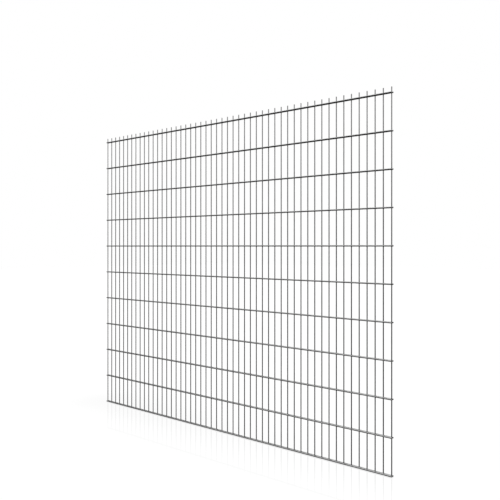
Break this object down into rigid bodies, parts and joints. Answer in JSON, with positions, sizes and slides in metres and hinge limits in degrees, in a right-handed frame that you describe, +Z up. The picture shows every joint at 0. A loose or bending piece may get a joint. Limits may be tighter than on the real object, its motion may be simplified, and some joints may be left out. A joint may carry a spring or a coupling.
{
  "type": "welded mesh fence panel",
  "caption": "Flat welded fence mesh of galvanised round rods: single uprights between twin horizontal rails, with short prongs along the top edge.",
  "frame": {"origin": "centre of the lower end face of the middle upright", "axes": "+X along the panel to its right end, +Y through it to the back, +Z up to the prongs"},
  "size_m": [2.51, 0.0204, 2.034],
  "materials": {
    "galvanised_steel": "hot-dip galvanised, dull zinc grey"
  },
  "bodies": {
    "root": {"left_end_upright": "galvanised_steel", "right_end_upright": "galvanised_steel", "uprights_group_1": "galvanised_steel", "uprights_group_2": "galvanised_steel", "uprights_group_3": "galvanised_steel", "uprights_group_4": "galvanised_steel", "uprights_group_5": "galvanised_steel", "uprights_group_6": "galvanised_steel", "uprights_group_7": "galvanised_steel", "front_rail_01": "galvanised_steel", "front_rail_02": "galvanised_steel", "front_rail_03": "galvanised_steel", "front_rail_04": "galvanised_steel", "front_rail_05": "galvanised_steel", "front_rail_06": "galvanised_steel", "front_rail_07": "galvanised_steel", "front_rail_08": "galvanised_steel", "front_rail_09": "galvanised_steel", "front_rail_10": "galvanised_steel", "front_rail_11": "galvanised_steel", "back_rail_01": "galvanised_steel", "back_rail_02": "galvanised_steel", "back_rail_03": "galvanised_steel", "back_rail_04": "galvanised_steel", "back_rail_05": "galvanised_steel", "back_rail_06": "galvanised_steel", "back_rail_07": "galvanised_steel", "back_rail_08": "galvanised_steel", "back_rail_09": "galvanised_steel", "back_rail_10": "galvanised_steel", "back_rail_11": "galvanised_steel"}
  },
  "joints": []
}
